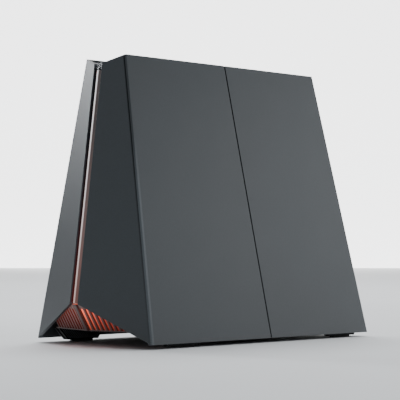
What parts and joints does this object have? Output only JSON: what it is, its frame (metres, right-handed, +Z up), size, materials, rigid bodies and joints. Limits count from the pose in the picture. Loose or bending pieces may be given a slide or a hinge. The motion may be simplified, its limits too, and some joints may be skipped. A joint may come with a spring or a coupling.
{
  "type": "wireless router",
  "caption": "Tall free-standing wireless router with two leaning wings, a swept front with a light slot over a lit undercut grille, and a recessed rear connector panel.",
  "frame": {"origin": "middle of the overall box, on the surface that the feet stand on", "axes": "+X to the right seen from the front, -Y is the front with the light slot, +Y the rear with the connectors, +Z up"},
  "size_m": [0.1246, 0.254, 0.2097],
  "materials": {
    "shell_plastic": "dark grey, very fine matte texture",
    "inner_plastic": "black, matte",
    "grille_plastic": "dark grey ribs lit red from behind",
    "red_glow": "translucent red diffuser, lit",
    "guide_plastic": "milky light guide",
    "circuit_board": "solder-masked board",
    "chip_plastic": "black moulding compound",
    "plated_steel": "tin-plated sheet",
    "sink_aluminium": "plain extruded",
    "thermal_pad": "soft gap filler",
    "cable_jacket": "thin black jacket",
    "button_plastic": "dark grey, satin",
    "foot_rubber": "black, matte",
    "screw_steel": "blackened"
  },
  "bodies": {
    "housing": {"right_front_shell": "shell_plastic", "left_front_shell": "shell_plastic", "right_rear_shell": "shell_plastic", "left_rear_shell": "shell_plastic", "right_carrier": "inner_plastic", "left_carrier": "inner_plastic", "base_tray": "inner_plastic", "foot_front_right": "foot_rubber", "foot_front_left": "foot_rubber", "foot_rear_right": "foot_rubber", "foot_rear_left": "foot_rubber", "front_grille": "grille_plastic", "glow_diffuser": "red_glow", "glow_board": "circuit_board", "light_guide": "guide_plastic", "keel_channel": "inner_plastic", "keel_led_strip": "circuit_board", "top_vent": "inner_plastic", "connector_panel": "inner_plastic", "rear_vent": "inner_plastic", "main_board": "circuit_board", "button_board": "circuit_board", "processor_chips": "chip_plastic", "radio_shields": "plated_steel", "right_thermal_pads": "thermal_pad", "left_thermal_pads": "thermal_pad", "right_heat_sink": "sink_aluminium", "left_heat_sink": "sink_aluminium", "power_filter": "chip_plastic", "fan_frame": "chip_plastic", "lan_jacks": "plated_steel", "fast_wan_jack": "plated_steel", "fast_lan_jack": "plated_steel", "sfp_cage": "plated_steel", "usb_socket": "plated_steel", "power_jack": "chip_plastic", "power_switch": "chip_plastic", "tact_switches": "chip_plastic", "right_antenna_leads": "cable_jacket", "left_antenna_leads": "cable_jacket", "base_screws": "screw_steel", "fan_screws": "screw_steel", "heat_sink_screws": "screw_steel", "panel_screws": "screw_steel", "antenna_right_1": "circuit_board", "antenna_right_2": "circuit_board", "antenna_right_3": "circuit_board", "antenna_right_4": "circuit_board", "antenna_left_1": "circuit_board", "antenna_left_2": "circuit_board", "antenna_left_3": "circuit_board", "antenna_left_4": "circuit_board"},
    "power_button": {"power_button": "button_plastic"},
    "radio_button": {"radio_button": "button_plastic"},
    "pairing_button": {"pairing_button": "button_plastic"},
    "light_button": {"light_button": "button_plastic"},
    "reset_button": {"reset_button": "button_plastic"},
    "rotor": {"fan_rotor": "chip_plastic"}
  },
  "joints": [
    {"name": "power_press", "type": "slide", "parent": "housing", "child": "power_button", "axis": [0, -1, 0], "range_m": [0, 0.0015], "stiffness_N_per_m": 1200},
    {"name": "radio_press", "type": "slide", "parent": "housing", "child": "radio_button", "axis": [0, -1, 0], "range_m": [0, 0.0006], "stiffness_N_per_m": 1800},
    {"name": "pairing_press", "type": "slide", "parent": "housing", "child": "pairing_button", "axis": [0, -1, 0], "range_m": [0, 0.0006], "stiffness_N_per_m": 1800},
    {"name": "light_press", "type": "slide", "parent": "housing", "child": "light_button", "axis": [0, -1, 0], "range_m": [0, 0.0006], "stiffness_N_per_m": 1800},
    {"name": "reset_press", "type": "slide", "parent": "housing", "child": "reset_button", "axis": [0, -1, 0], "range_m": [0, 0.0006], "stiffness_N_per_m": 1800},
    {"name": "rotor_spin", "type": "hinge", "parent": "housing", "child": "rotor", "pos_m": [0, -0.005, 0.02], "axis": [0, 0, 1], "continuous": true}
  ]
}
